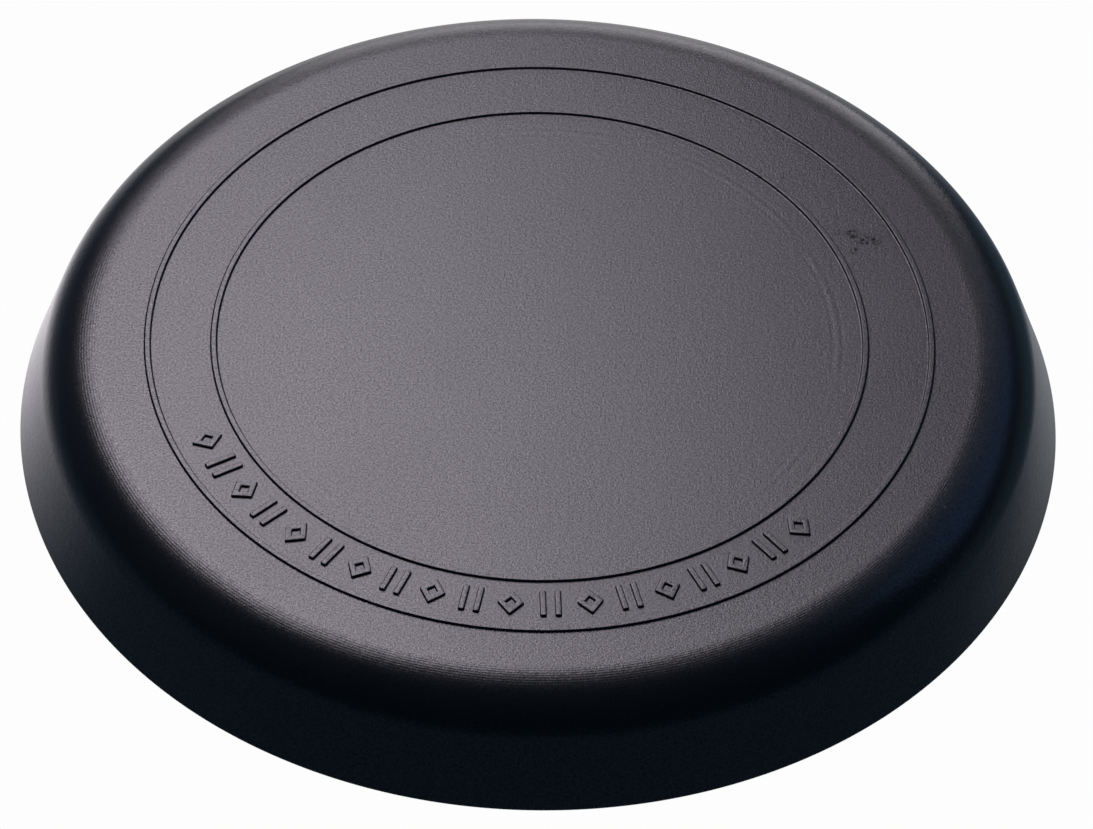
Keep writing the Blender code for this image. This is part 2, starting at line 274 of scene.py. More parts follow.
# How finely round pieces are divided
COVER_SEGMENTS = 360
BOARD_SEGMENTS = 160
FITTING_SEGMENTS = 96
SCREW_SEGMENTS = 48
THREAD_STEP = 0.12 * MM
ROUNDING_STEPS = 3
SHOULDER_STEPS = 36
LIP_STEPS = 6
DOME_STEPS = 10


def link(thing):
    """Puts an object in the scene."""
    bpy.context.scene.collection.objects.link(thing)
    return thing


def baked(thing):
    """Applies an object's modifiers to its mesh."""
    bpy.context.view_layer.update()
    depsgraph = bpy.context.evaluated_depsgraph_get()
    mesh = bpy.data.meshes.new_from_object(thing.evaluated_get(depsgraph))
    thing.modifiers.clear()
    thing.data = mesh
    mesh.name = thing.name
    return thing


def smoothed(thing, angle=SMOOTH_ANGLE):
    """Shades a mesh smooth, with the edges over an angle in degrees kept sharp."""
    thing.data.shade_smooth()
    thing.data.set_sharp_from_angle(angle=math.radians(angle))
    return thing


def turned(name, profile, segments):
    """A solid turned about Z from (radius, height) points that run down its outer side.

    A profile that starts on the axis also ends on it, and any other one closes into a ring.
    """
    edges = [(index, index + 1) for index in range(len(profile) - 1)]
    if profile[0][0] > 0.0:
        edges.append((len(profile) - 1, 0))
    mesh = bpy.data.meshes.new(name)
    mesh.from_pydata([(radius, 0.0, height) for radius, height in profile], edges, [])
    thing = link(bpy.data.objects.new(name, mesh))
    spin = thing.modifiers.new("spin", "SCREW")
    spin.angle = math.tau
    spin.steps = segments
    spin.render_steps = segments
    spin.use_merge_vertices = True
    spin.merge_threshold = MERGE
    return baked(thing)


def combined(target, tools, operation, crossing=False):
    """Joins tools on to the target or cuts them out of it, and removes them.

    crossing says that the tools' own shapes cross themselves.
    """
    for tool in tools:
        modifier = target.modifiers.new(tool.name, "BOOLEAN")
        modifier.operation = operation
        modifier.solver = "EXACT"
        modifier.use_self = crossing
        modifier.object = tool
    baked(target)
    for tool in tools:
        bpy.data.objects.remove(tool)
    return target


def many_sided_split(thing):
    """Splits a mesh's many-sided faces into triangles."""
    shape = bmesh.new()
    shape.from_mesh(thing.data)
    bmesh.ops.triangulate(shape, faces=[face for face in shape.faces if len(face.verts) > 4])
    shape.to_mesh(thing.data)
    shape.free()
    return thing


def ellipse_arc(centre, radii, start, end, steps):
    """(radius, height) points along an ellipse; 0 degrees points outwards and 90 up."""
    points = []
    for index in range(steps + 1):
        angle = math.radians(start + (end - start) * index / steps)
        radius = centre[0] + radii[0] * math.cos(angle)
        height = centre[1] + radii[1] * math.sin(angle)
        points.append((radius, height))
    return points


def rounded(corners):
    """A profile whose corners are (radius, height, rounding) points, with each corner rounded off.

    The rounding is the length that it takes off both sides of the corner; 0 keeps it sharp.
    """
    points = []
    for index, (radius, height, rounding) in enumerate(corners):
        here = Vector((radius, height))
        if rounding == 0.0:
            points.append((radius, height))
            continue
        before = Vector(corners[index - 1][:2])
        after = Vector(corners[(index + 1) % len(corners)][:2])
        start = here + (before - here).normalized() * rounding
        end = here + (after - here).normalized() * rounding
        for step in range(ROUNDING_STEPS + 1):
            share = step / ROUNDING_STEPS
            near = start.lerp(here, share)
            far = here.lerp(end, share)
            points.append(tuple(near.lerp(far, share)))
    return points


def ring_corners(middle):
    """A raised ring's section with soft edges, from its inner foot to its outer one."""
    crest = RING_TOP_WIDTH / 2
    foot = crest + RING_FLANK
    clear = foot + EDGE_ROUND + SUPPORT_GAP
    top = PLAY_HEIGHT + RELIEF
    return [
        (middle - clear, PLAY_HEIGHT, 0.0),
        (middle - foot, PLAY_HEIGHT, EDGE_ROUND),
        (middle - crest, top, EDGE_ROUND),
        (middle + crest, top, EDGE_ROUND),
        (middle + foot, PLAY_HEIGHT, EDGE_ROUND),
        (middle + clear, PLAY_HEIGHT, 0.0),
    ]


def skirt_angle():
    """How far above level the skirt's normal points, in degrees; the skirt touches both rounds."""
    run = BASE_RADIUS - LIP_ROUND - PLAY_RADIUS
    drop = PLAY_HEIGHT - SHOULDER_ROUND - LIP_ROUND
    turn = math.acos((SHOULDER_ROUND - LIP_ROUND) / math.hypot(run, drop))
    return math.degrees(turn - math.atan2(drop, run))


def grip_corners():
    """The lip's underside from outside to inside, with its round grip grooves."""
    corners = []
    half = GRIP_GROOVE_WIDTH / 2
    for middle in reversed(GRIP_GROOVES):
        corners += [
            (middle + half, 0.0, EDGE_ROUND),
            (middle + half, GRIP_GROOVE_DEPTH, EDGE_ROUND),
            (middle - half, GRIP_GROOVE_DEPTH, EDGE_ROUND),
            (middle - half, 0.0, EDGE_ROUND),
        ]
    return corners


def cover_profile():
    """The cover's section: over the face, down the outside, under the lip and up the inside."""
    shoulder = (PLAY_RADIUS, PLAY_HEIGHT - SHOULDER_ROUND)
    lip = (BASE_RADIUS - LIP_ROUND, LIP_ROUND)
    angle = skirt_angle()
    face = [(0.0, PLAY_HEIGHT, 0.0)]
    for middle in RING_RADII:
        face += ring_corners(middle)
    face.append((PLAY_RADIUS - SUPPORT_GAP, PLAY_HEIGHT, 0.0))
    profile = rounded(face)
    profile += ellipse_arc(shoulder, (SHOULDER_ROUND, SHOULDER_ROUND), 90, angle, SHOULDER_STEPS)
    profile += ellipse_arc(lip, (LIP_ROUND, LIP_ROUND), angle, 0, LIP_STEPS // 2)
    profile += ellipse_arc(lip, (LIP_ROUND, LIP_ROUND), 0, -90, LIP_STEPS)[1:]
    profile += rounded(
        [
            *grip_corners(),
            (BEAD_RADIUS, 0.0, BEAD_ROUND),
            (BEAD_RADIUS, UNDERSIDE, BEAD_ROUND),
            (INSIDE_RADIUS, UNDERSIDE, 0.0),
            (INSIDE_RADIUS, CEILING_HEIGHT, 0.0),
            (0.0, CEILING_HEIGHT, 0.0),
        ]
    )
    return profile


def placed(outline, angle):
    """An outline drawn about (0, 0), with Y pointing outwards, moved onto the circle of marks."""
    points = []
    for across, outward in outline:
        radius = MARK_RADIUS + outward
        x = radius * math.cos(angle) - across * math.sin(angle)
        y = radius * math.sin(angle) + across * math.cos(angle)
        points.append((x, y))
    return points


def lozenge(width, height):
    """A diamond outline about (0, 0)."""
    return [(width / 2, 0.0), (0.0, height / 2), (-width / 2, 0.0), (0.0, -height / 2)]


def bar(across):
    """An upright bar's outline, to one side of (0, 0)."""
    left = across - STROKE / 2
    right = across + STROKE / 2
    reach = MARK_HEIGHT / 2
    return [(right, -reach), (right, reach), (left, reach), (left, -reach)]


def mark_outlines():
    """Open lozenges and pairs of bars, turn about, evenly spaced along the arc."""
    slant = math.hypot(MARK_WIDTH, MARK_HEIGHT)
    inner_width = MARK_WIDTH - 2 * STROKE * slant / MARK_HEIGHT
    inner_height = MARK_HEIGHT - 2 * STROKE * slant / MARK_WIDTH
    pair = [bar(-BAR_SPACING / 2), bar(BAR_SPACING / 2)]
    open_lozenge = [lozenge(MARK_WIDTH, MARK_HEIGHT), lozenge(inner_width, inner_height)]
    outlines = []
    for index in range(MARK_COUNT):
        angle = MARK_MIDDLE + MARK_SPREAD * (index / (MARK_COUNT - 1) - 0.5)
        for outline in pair if index % 2 else open_lozenge:
            outlines.append(placed(outline, angle))
    return outlines


def soft_prisms(name, outlines, bottom, top):
    """Upright prisms on flat outlines, with soft edges; an outline inside another is a hole."""
    curve = bpy.data.curves.new(name, "CURVE")
    curve.dimensions = "2D"
    curve.fill_mode = "BOTH"
    curve.extrude = (top - bottom) / 2
    for outline in outlines:
        spline = curve.splines.new("POLY")
        spline.points.add(len(outline) - 1)
        for point, (x, y) in zip(spline.points, outline):
            point.co = (x, y, 0.0, 1.0)
        spline.use_cyclic_u = True
    drawn = link(bpy.data.objects.new(name, curve))
    bpy.context.view_layer.update()
    depsgraph = bpy.context.evaluated_depsgraph_get()
    mesh = bpy.data.meshes.new_from_object(drawn.evaluated_get(depsgraph))
    bpy.data.objects.remove(drawn)
    mesh.transform(Matrix.Translation((0.0, 0.0, (bottom + top) / 2)))
    shape = bmesh.new()
    shape.from_mesh(mesh)
    bmesh.ops.remove_doubles(shape, verts=shape.verts, dist=MERGE)
    bmesh.ops.dissolve_limit(
        shape, angle_limit=FLAT_ANGLE, verts=shape.verts, edges=shape.edges
    )
    bmesh.ops.recalc_face_normals(shape, faces=shape.faces)
    shape.to_mesh(mesh)
    shape.free()
    prisms = link(bpy.data.objects.new(name, mesh))
    bevel = prisms.modifiers.new("edges", "BEVEL")
    bevel.width = MARK_ROUND
    bevel.segments = ROUNDING_STEPS
    bevel.limit_method = "ANGLE"
    return baked(prisms)


def place_piece(thing, material, node):
    """Gives a piece its material, and puts it on the body in its CAD node's stead."""
    thing.data.materials.clear()
    thing.data.materials.append(material)
    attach(thing, "root")
    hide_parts(node)
    return thing


def make_cover(material):
    """The rubber cover with its raised rings and marks."""
    cover = turned("cover_skin", cover_profile(), COVER_SEGMENTS)
    marks = soft_prisms("marks", mark_outlines(), PLAY_HEIGHT - RELIEF_ROOT, PLAY_HEIGHT + RELIEF)
    combined(cover, [marks], "UNION")
    smoothed(many_sided_split(cover), COVER_SMOOTH_ANGLE)
    weighted = cover.modifiers.new("flat_faces_flat", "WEIGHTED_NORMAL")
    weighted.keep_sharp = True
    weighted.weight = LARGE_FACE_WEIGHT
    return place_piece(cover, material, "rubber_cover")


def make_disc(material):
    """The foam disc that lies on the board."""
    profile = rounded(
        [
            (0.0, DISC_HIGH.z, 0.0),
            (DISC_HIGH.x, DISC_HIGH.z, SOFT_EDGE),
            (DISC_HIGH.x, DISC_LOW.z, SOFT_EDGE),
            (0.0, DISC_LOW.z, 0.0),
        ]
    )
    disc = smoothed(turned("foam_disc", profile, BOARD_SEGMENTS))
    place_piece(disc, material, "damping_disc")


def middle_of(node):
    """The (x, y) middle of a CAD node."""
    low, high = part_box(node)
    return ((low.x + high.x) / 2, (low.y + high.y) / 2)


def numbered_places(stem):
    """The middles of the four CAD nodes whose names start alike."""
    return [middle_of(f"{stem}_{index}") for index in range(1, 5)]


def upright_tool(profile, place):
    """A round tool that stands at a place, to cut with."""
    tool = turned("tool", profile, SCREW_SEGMENTS)
    tool.location = (*place, 0.0)
    return tool


def make_board(material):
    """The round board, bored for the insert's barrel and drilled for the screws."""
    bore = BARREL_RADIUS + GAP
    profile = rounded(
        [
            (bore, BOARD_HIGH.z, SOFT_EDGE),
            (BOARD_HIGH.x, BOARD_HIGH.z, SOFT_EDGE),
            (BOARD_HIGH.x, BOARD_LOW.z, SOFT_EDGE),
            (bore, BOARD_LOW.z, SOFT_EDGE),
        ]
    )
    board = turned("fibre_board", profile, BOARD_SEGMENTS)
    top = INSERT_SCREW_HIGH.z + GAP
    hole_radius = SHANK_RADIUS + GAP
    hole = [(0.0, top), (hole_radius, top), (hole_radius, 0.0), (0.0, 0.0)]
    places = numbered_places("insert_screw") + numbered_places("foot")
    combined(board, [upright_tool(hole, place) for place in places], "DIFFERENCE")
    place_piece(smoothed(board), material, "base_board")


def threaded(thing, low, high, root, crest, pitch, run_out):
    """Moves the points of a round wall in and out along a helix, which fades at both its ends.

    Half the pitch is flanks, a quarter is root and a quarter is crest.
    """
    for vertex in thing.data.vertices:
        x, y, z = vertex.co
        radius = math.hypot(x, y)
        inside = min(root, crest) - MERGE <= radius <= max(root, crest) + MERGE
        if not inside or not low < z < high:
            continue
        turn = (z / pitch - math.atan2(y, x) / math.tau) % 1.0
        flank = min(1.0, max(0.0, 2.0 * abs(2.0 * turn - 1.0) - 0.5))
        fade = min(1.0, (z - low) / run_out, (high - z) / run_out)
        wanted = root + (crest - root) * flank * fade
        vertex.co.x *= wanted / radius
        vertex.co.y *= wanted / radius
    thing.data.update()
    return thing


def wall_heights(top, bottom):
    """Heights down a wall, close enough together to carry a thread."""
    steps = max(1, round((top - bottom) / THREAD_STEP))
    return [top + (bottom - top) * index / steps for index in range(steps + 1)]


def make_insert(material):
    """The flanged insert, with its M8 thread and countersunk holes."""
    rim = INSERT_HIGH.x
    bottom = INSERT_LOW.z
    top = INSERT_HIGH.z
    profile = rounded(
        [
            (THREAD_MAJOR, top, FLANGE_EDGE),
            (BARREL_RADIUS, top, FLANGE_EDGE),
            (BARREL_RADIUS, UNDERSIDE, 0.0),
            (rim, UNDERSIDE, FLANGE_EDGE),
            (rim, bottom, FLANGE_EDGE),
            (THREAD_MAJOR, bottom, FLANGE_EDGE),
        ]
    )
    for height in reversed(wall_heights(top - FLANGE_EDGE, bottom + FLANGE_EDGE)[1:-1]):
        profile.append((THREAD_MAJOR, height))
    insert = turned("threaded_insert", profile, FITTING_SEGMENTS)
    threaded(
        insert,
        bottom + FLANGE_EDGE,
        top - FLANGE_EDGE,
        THREAD_MAJOR,
        THREAD_MINOR,
        THREAD_PITCH,
        THREAD_RUN_OUT,
    )
    shank = SHANK_RADIUS + GAP
    head = (INSERT_SCREW_HIGH.x - INSERT_SCREW_LOW.x) / 2 + GAP
    cone_foot = bottom + FLAT_HEAD_RIM
    sink = [
        (0.0, UNDERSIDE + CUT_MARGIN),
        (shank, UNDERSIDE + CUT_MARGIN),
        (shank, cone_foot + head - shank),
        (head, cone_foot),
        (head, 0.0),
        (0.0, 0.0),
    ]
    sinks = [upright_tool(sink, place) for place in numbered_places("insert_screw")]
    combined(insert, sinks, "DIFFERENCE")
    place_piece(smoothed(insert), material, "stand_insert")


def drive_tool(face):
    """A tapered cross, wide at the screw's face and narrow in its head."""
    mesh = bpy.data.meshes.new("drive")
    shape = bmesh.new()
    for spans in ((DRIVE_SPAN, DRIVE_WIDTH), (DRIVE_WIDTH, DRIVE_SPAN)):
        corners = bmesh.ops.create_cube(shape, size=1.0)["verts"]
        for corner in corners:
            deep = corner.co.z > 0.0
            taper = DRIVE_TAPER if deep else 1.0
            corner.co.x *= spans[0] * taper
            corner.co.y *= spans[1] * (1.0 + taper) / 2
            corner.co.z = face + (DRIVE_DEPTH if deep else -DRIVE_DEPTH)
    shape.to_mesh(mesh)
    shape.free()
    return link(bpy.data.objects.new("drive", mesh))


def make_screw(name, head, neck, low, high):
    """A wood screw, with a head whose section ends on the axis and a thread above its neck."""
    shoulder = high - TIP_LENGTH
    profile = [(0.0, high)]
    for height in wall_heights(high, shoulder)[1:]:
        profile.append((SCREW_ROOT * (high - height) / TIP_LENGTH, height))
    for height in wall_heights(shoulder, neck)[1:]:
        profile.append((SCREW_ROOT, height))
    screw = turned(name, profile + head, SCREW_SEGMENTS)
    threaded(screw, neck, shoulder, SCREW_ROOT, SCREW_CREST, SCREW_PITCH, SCREW_RUN_OUT)
    combined(screw, [drive_tool(low)], "DIFFERENCE", crossing=True)
    return smoothed(screw, SCREW_SMOOTH_ANGLE)


def repeat_pieces(thing, material, stem, turns):
    """Copies of a piece in the places of the four CAD nodes whose names start alike."""
    for index, (x, y) in enumerate(numbered_places(stem), start=1):
        copy = link(bpy.data.objects.new(f"{thing.name}_{index}", thing.data))
        copy.location = (x, y, 0.0)
        copy.rotation_euler.z = math.radians(turns[index - 1])
        place_piece(copy, material, f"{stem}_{index}")
    bpy.data.objects.remove(thing)


def make_insert_screws(material):
    """The countersunk screws in the insert's flange."""
    low = INSERT_SCREW_LOW.z
    rim = (INSERT_SCREW_HIGH.x - INSERT_SCREW_LOW.x) / 2
    cone_foot = low + FLAT_HEAD_RIM
    neck = cone_foot + rim - SHANK_RADIUS
    head = rounded(
        [
            (SHANK_RADIUS, neck, 0.0),
            (rim, cone_foot, HEAD_EDGE),
            (rim, low, HEAD_EDGE),
            (0.0, low, 0.0),
        ]
    )
    screw = make_screw("flat_screw", head, neck + NECK_LENGTH, low, INSERT_SCREW_HIGH.z)
    repeat_pieces(screw, material, "insert_screw", FIRST_TURNS)


def make_foot_screws(material):
    """The pan head screws in the feet."""
    low = FOOT_SCREW_LOW.z
    rim = (FOOT_SCREW_HIGH.x - FOOT_SCREW_LOW.x) / 2
    top = low + PAN_HEAD_THICKNESS
    dome = ellipse_arc((0.0, top), (rim, -PAN_HEAD_THICKNESS), 0, 90, DOME_STEPS)
    shank_top = top + SHANK_RADIUS - SCREW_ROOT
    head = [(SHANK_RADIUS, shank_top), (SHANK_RADIUS, top), *dome]
    screw = make_screw("pan_screw", head, FOOT_HIGH.z, low, FOOT_SCREW_HIGH.z)
    repeat_pieces(screw, material, "foot_screw", SECOND_TURNS)


def foot_corners(rim):
    """A foot's section with its two grip grooves."""
    half = FOOT_GROOVE_WIDTH / 2
    corners = [
        (FOOT_HOLE_RADIUS, FOOT_HIGH.z, 0.0),
        (rim, FOOT_HIGH.z, SOFT_EDGE),
        (FOOT_BOTTOM_RADIUS, 0.0, LIP_ROUND),
    ]
    for middle in reversed(FOOT_GROOVES):
        corners += [
            (middle + half, 0.0, EDGE_ROUND / 2),
            (middle + half, GRIP_GROOVE_DEPTH, EDGE_ROUND / 2),
            (middle - half, GRIP_GROOVE_DEPTH, EDGE_ROUND / 2),
            (middle - half, 0.0, EDGE_ROUND / 2),
        ]
    corners += [
        (FOOT_RECESS_RADIUS, 0.0, SOFT_EDGE),
        (FOOT_RECESS_RADIUS, FOOT_RECESS_DEPTH, SOFT_EDGE / 2),
        (FOOT_HOLE_RADIUS, FOOT_RECESS_DEPTH, 0.0),
    ]
    return corners


def make_feet(material):
    """The four rubber feet."""
    profile = rounded(foot_corners((FOOT_HIGH.x - FOOT_LOW.x) / 2))
    foot = smoothed(turned("rubber_foot", profile, FITTING_SEGMENTS))
    repeat_pieces(foot, material, "foot", FIRST_TURNS)


def make_washers(material):
    """The washers under the foot screws' heads."""
    rim = (WASHER_HIGH.x - WASHER_LOW.x) / 2
    profile = rounded(
        [
            (WASHER_HOLE_RADIUS, WASHER_HIGH.z, WASHER_EDGE),
            (rim, WASHER_HIGH.z, WASHER_EDGE),
            (rim, WASHER_LOW.z, WASHER_EDGE),
            (WASHER_HOLE_RADIUS, WASHER_LOW.z, WASHER_EDGE),
        ]
    )
    washer = smoothed(turned("washer", profile, FITTING_SEGMENTS))
    repeat_pieces(washer, material, "foot_washer", SECOND_TURNS)


class Nodes:
    """A short way to build a material's node tree."""

    def __init__(self, name):
        self.material = bpy.data.materials.new(name)
        self.material.use_nodes = True
        self.tree = self.material.node_tree
        self.shader = self.tree.nodes["Principled BSDF"]
        self.place = self.add("ShaderNodeTexCoord").outputs["Object"]

    def add(self, kind, inputs=None, **settings):
        """A new node, with its settings and with values or links on its inputs."""
        node = self.tree.nodes.new(kind)
        for key, value in settings.items():
            setattr(node, key, value)
        for key, value in (inputs or {}).items():
            self.set(node.inputs[key], value)
        return node

    def set(self, socket, value):
        """Links an output to an input, or sets the input's own value."""
        if isinstance(value, bpy.types.NodeSocket):
            self.tree.links.new(value, socket)
        else:
            socket.default_value = value

    def noise(self, scale, detail=2.0, roughness=0.5, place=None):
        """Noise from 0 to 1, whose patches are about 1/scale metres wide."""
        node = self.add(
            "ShaderNodeTexNoise",
            {
                "Vector": place or self.place,
                "Scale": scale,
                "Detail": detail,
                "Roughness": roughness,
            },
        )
        return node.outputs["Fac"]

    def math(self, operation, first, second=0.0):
        """One math node's result."""
        node = self.add("ShaderNodeMath", operation=operation)
        self.set(node.inputs[0], first)
        self.set(node.inputs[1], second)
        return node.outputs[0]

    def spread(self, value, low, high, to_low, to_high, smooth=False):
        """A value's range stretched to another one."""
        node = self.add(
            "ShaderNodeMapRange",
            {
                "Value": value,
                "From Min": low,
                "From Max": high,
                "To Min": to_low,
                "To Max": to_high,
            },
            interpolation_type="SMOOTHSTEP" if smooth else "LINEAR",
        )
        return node.outputs["Result"]

    def blend(self, share, first, second):
        """A colour between two others."""
        node = self.add("ShaderNodeMix", data_type="RGBA")
        self.set(node.inputs["Factor"], share)
        colours = [socket for socket in node.inputs if socket.type == "RGBA"]
        for socket, colour in zip(colours, (first, second)):
            self.set(socket, (*colour, 1.0) if isinstance(colour, tuple) else colour)
        return [socket for socket in node.outputs if socket.type == "RGBA"][0]

    def bump(self, height, strength, distance, normal=None):
        """A bumped normal from a height between 0 and 1."""
        inputs = {"Height": height, "Strength": strength, "Distance": distance}
        node = self.add("ShaderNodeBump", inputs)
        if normal:
            self.set(node.inputs["Normal"], normal)
        return node.outputs["Normal"]

    def radius(self):
        """The distance from the piece's upright axis, in metres."""
        flat_only = {0: self.place, 1: (1.0, 1.0, 0.0)}
        flat = self.add("ShaderNodeVectorMath", flat_only, operation="MULTIPLY")
        length = self.add("ShaderNodeVectorMath", {0: flat.outputs["Vector"]}, operation="LENGTH")
        return length.outputs["Value"]

    def band(self, value, edges):
        """1 between the middle two of four rising edges, fading to 0 at the outer two."""
        rise = self.spread(value, edges[0], edges[1], 0.0, 1.0, smooth=True)
        fall = self.spread(value, edges[2], edges[3], 1.0, 0.0, smooth=True)
        return self.math("MULTIPLY", rise, fall)

    def waves(self, value, pitch):
        """A sine wave along a value in metres, from -1 to 1."""
        return self.math("SINE", self.math("MULTIPLY", value, math.tau / pitch))

    def cells(self, scale, output="Distance"):
        """A Voronoi pattern: the distance to the nearest point, or its cell's own colour."""
        node = self.add("ShaderNodeTexVoronoi", {"Vector": self.place, "Scale": scale})
        return node.outputs[output]

    def near(self, place, reach):
        """1 at a place on the piece, fading to 0 at a distance."""
        node = self.add("ShaderNodeVectorMath", {0: self.place, 1: place}, operation="DISTANCE")
        core = SCUFF_CORE * reach
        return self.spread(node.outputs["Value"], core, reach, 1.0, 0.0, smooth=True)

    def finish(self, **inputs):
        """Sets the shader's inputs and returns the material."""
        for name, value in inputs.items():
            self.set(self.shader.inputs[name.replace("_", " ")], value)
        return self.material


def pits(nodes, scale, rarity):
    """Small scattered dots, 1 at their middles; the rarity is the share of places without one."""
    dot = nodes.spread(nodes.cells(scale), 0.08, 0.22, 1.0, 0.0, smooth=True)
    lot = nodes.add("ShaderNodeSeparateXYZ", {"Vector": nodes.cells(scale, "Color")}).outputs["X"]
    return nodes.math("MULTIPLY", dot, nodes.spread(lot, rarity, rarity + 0.01, 0.0, 1.0))


def scuff(nodes, place, reach):
    """Torn specks crowded about a place."""
    specks = nodes.spread(nodes.noise(1000.0, 2.0, 0.7), 0.47, 0.54, 0.0, 1.0)
    clumps = nodes.spread(nodes.noise(330.0, 1.0), 0.46, 0.56, 0.0, 1.0)
    return nodes.math("MULTIPLY", nodes.math("MULTIPLY", specks, clumps), nodes.near(place, reach))


def cover_rubber():
    """Moulded black rubber: fine grain, a faint bloom, pits, rubbed arcs and the mould's lines."""
    nodes = Nodes("cover_rubber")
    radius = nodes.radius()
    grain = nodes.noise(GRAIN_SCALE, 2.0, 0.7)
    mottle = nodes.noise(MOTTLE_SCALE, 3.0, 0.6)
    patches = nodes.noise(PATCH_SCALE, 4.0, 0.55)
    bloom = nodes.spread(patches, 0.35, 0.7, 0.0, 1.0)
    tone = nodes.blend(bloom, RUBBER_DARK, RUBBER_BLOOM)
    dust = pits(nodes, SPECK_SCALE, DUST_RARITY)
    colour = nodes.blend(dust, tone, DUST_COLOUR)
    turned_lines = nodes.waves(radius, TURNED_PITCH)
    turned_lines = nodes.math("MULTIPLY", turned_lines, nodes.band(radius, TURNED_BAND))
    wobble = nodes.math("SUBTRACT", nodes.noise(14.0, 1.0), 0.5)
    wobble = nodes.math("MULTIPLY", wobble, RUBBED_WANDER)
    arcs = nodes.waves(nodes.math("ADD", radius, wobble), RUBBED_PITCH)
    broken = nodes.spread(nodes.noise(45.0, 2.0), 0.36, 0.52, 0.0, 1.0)
    rubbed = nodes.math("MULTIPLY", arcs, broken)
    rubbed = nodes.math("MULTIPLY", rubbed, nodes.band(radius, RUBBED_BAND))
    torn = pits(nodes, SPECK_SCALE, TORN_RARITY)
    for place, reach in SCUFFS:
        torn = nodes.math("MAXIMUM", torn, scuff(nodes, place, reach))
    face = nodes.spread(radius, *GRAIN_FADE, 1.0, SHOULDER_GRAIN, smooth=True)
    normal = nodes.bump(turned_lines, 1.0, TURNED_DEPTH)
    normal = nodes.bump(rubbed, 1.0, RUBBED_DEPTH, normal)
    normal = nodes.bump(torn, -1.0, TORN_DEPTH, normal)
    normal = nodes.bump(mottle, 1.0, MOTTLE_DEPTH, normal)
    normal = nodes.bump(nodes.math("MULTIPLY", grain, face), 1.0, GRAIN_DEPTH, normal)
    roughness = nodes.spread(nodes.math("ADD", patches, mottle), 0.7, 1.3, *FACE_ROUGHNESS)
    smoother = nodes.spread(radius, *GLOSS_RISE, 1.0, SHOULDER_ROUGHNESS, smooth=True)
    roughness = nodes.math("MULTIPLY", roughness, smoother)
    shine = nodes.spread(grain, 0.25, 0.75, *FACE_SHINE)
    shine = nodes.math("MULTIPLY", shine, nodes.spread(torn, 0.0, 1.0, 1.0, TORN_SHINE))
    return nodes.finish(
        Base_Color=colour, Roughness=roughness, Normal=normal, Specular_IOR_Level=shine
    )


def foot_rubber():
    """Plain matt black rubber, scuffed grey where it has stood."""
    nodes = Nodes("foot_rubber")
    grain = nodes.noise(1800.0, 3.0, 0.6)
    worn = nodes.spread(nodes.noise(300.0, 3.0), 0.45, 0.7, 0.0, 1.0)
    colour = nodes.blend(worn, FOOT_BLACK, FOOT_WORN)
    normal = nodes.bump(grain, 0.5, 0.06 * MM)
    roughness = nodes.spread(worn, 0.0, 1.0, 0.55, 0.75)
    return nodes.finish(Base_Color=colour, Roughness=roughness, Normal=normal)


def foam():
    """Closed-cell foam: small pressed cells."""
    nodes = Nodes("foam")
    cells = nodes.cells(1400.0)
    shade = nodes.spread(cells, 0.0, 0.7, 0.0, 1.0)
    colour = nodes.blend(shade, FOAM_PALE, FOAM_DARK)
    normal = nodes.bump(cells, -0.7, 0.25 * MM)
    return nodes.finish(Base_Color=colour, Roughness=0.95, Normal=normal)


def fibreboard():
    """Medium-density fibreboard: pressed fibres that lie every way, with a few dark flecks."""
    nodes = Nodes("fibreboard")
    fibres = nodes.noise(1200.0, 3.0, 0.6)
    for turn in FIBRE_TURNS:
        turned_place = nodes.add(
            "ShaderNodeMapping",
            {
                "Vector": nodes.place,
                "Rotation": (0.0, 0.0, math.radians(turn)),
                "Scale": (0.3, 1.0, 1.0),
            },
        )
        layer = nodes.noise(1400.0, 3.0, 0.6, turned_place.outputs["Vector"])
        fibres = nodes.math("MAXIMUM", fibres, layer)
    patches = nodes.noise(35.0, 3.0)
    pale = nodes.spread(fibres, 0.50, 0.75, 0.0, 1.0)
    tone = nodes.blend(pale, FIBRE_DARK, FIBRE_PALE)
    tone = nodes.blend(nodes.spread(patches, 0.4, 0.7, 0.0, 0.35), tone, FIBRE_STAIN)
    colour = nodes.blend(pits(nodes, 300.0, 0.90), tone, FIBRE_FLECK)
    normal = nodes.bump(fibres, 0.4, 0.12 * MM)
    roughness = nodes.spread(fibres, 0.4, 0.8, 0.82, 0.62)
    return nodes.finish(Base_Color=colour, Roughness=roughness, Normal=normal)


def plated_steel(name, bright, dull, low_roughness, high_roughness, turning):
    """Plated steel with a cloudy tint, fine scratches and the turning lines of a lathe."""
    nodes = Nodes(name)
    clouds = nodes.noise(160.0, 4.0, 0.6)
    fine = nodes.noise(2500.0, 2.0)
    colour = nodes.blend(nodes.spread(clouds, 0.35, 0.65, 0.0, 1.0), bright, dull)
    uneven = nodes.math("ADD", nodes.radius(), nodes.math("MULTIPLY", fine, 0.1 * MM))
    lines = nodes.waves(uneven, turning)
    normal = nodes.bump(lines, 0.25, 0.01 * MM)
    normal = nodes.bump(fine, 0.2, 0.02 * MM, normal)
    wear = nodes.math("ADD", clouds, fine)
    roughness = nodes.spread(wear, 0.7, 1.3, low_roughness, high_roughness)
    return nodes.finish(Base_Color=colour, Metallic=1.0, Roughness=roughness, Normal=normal)


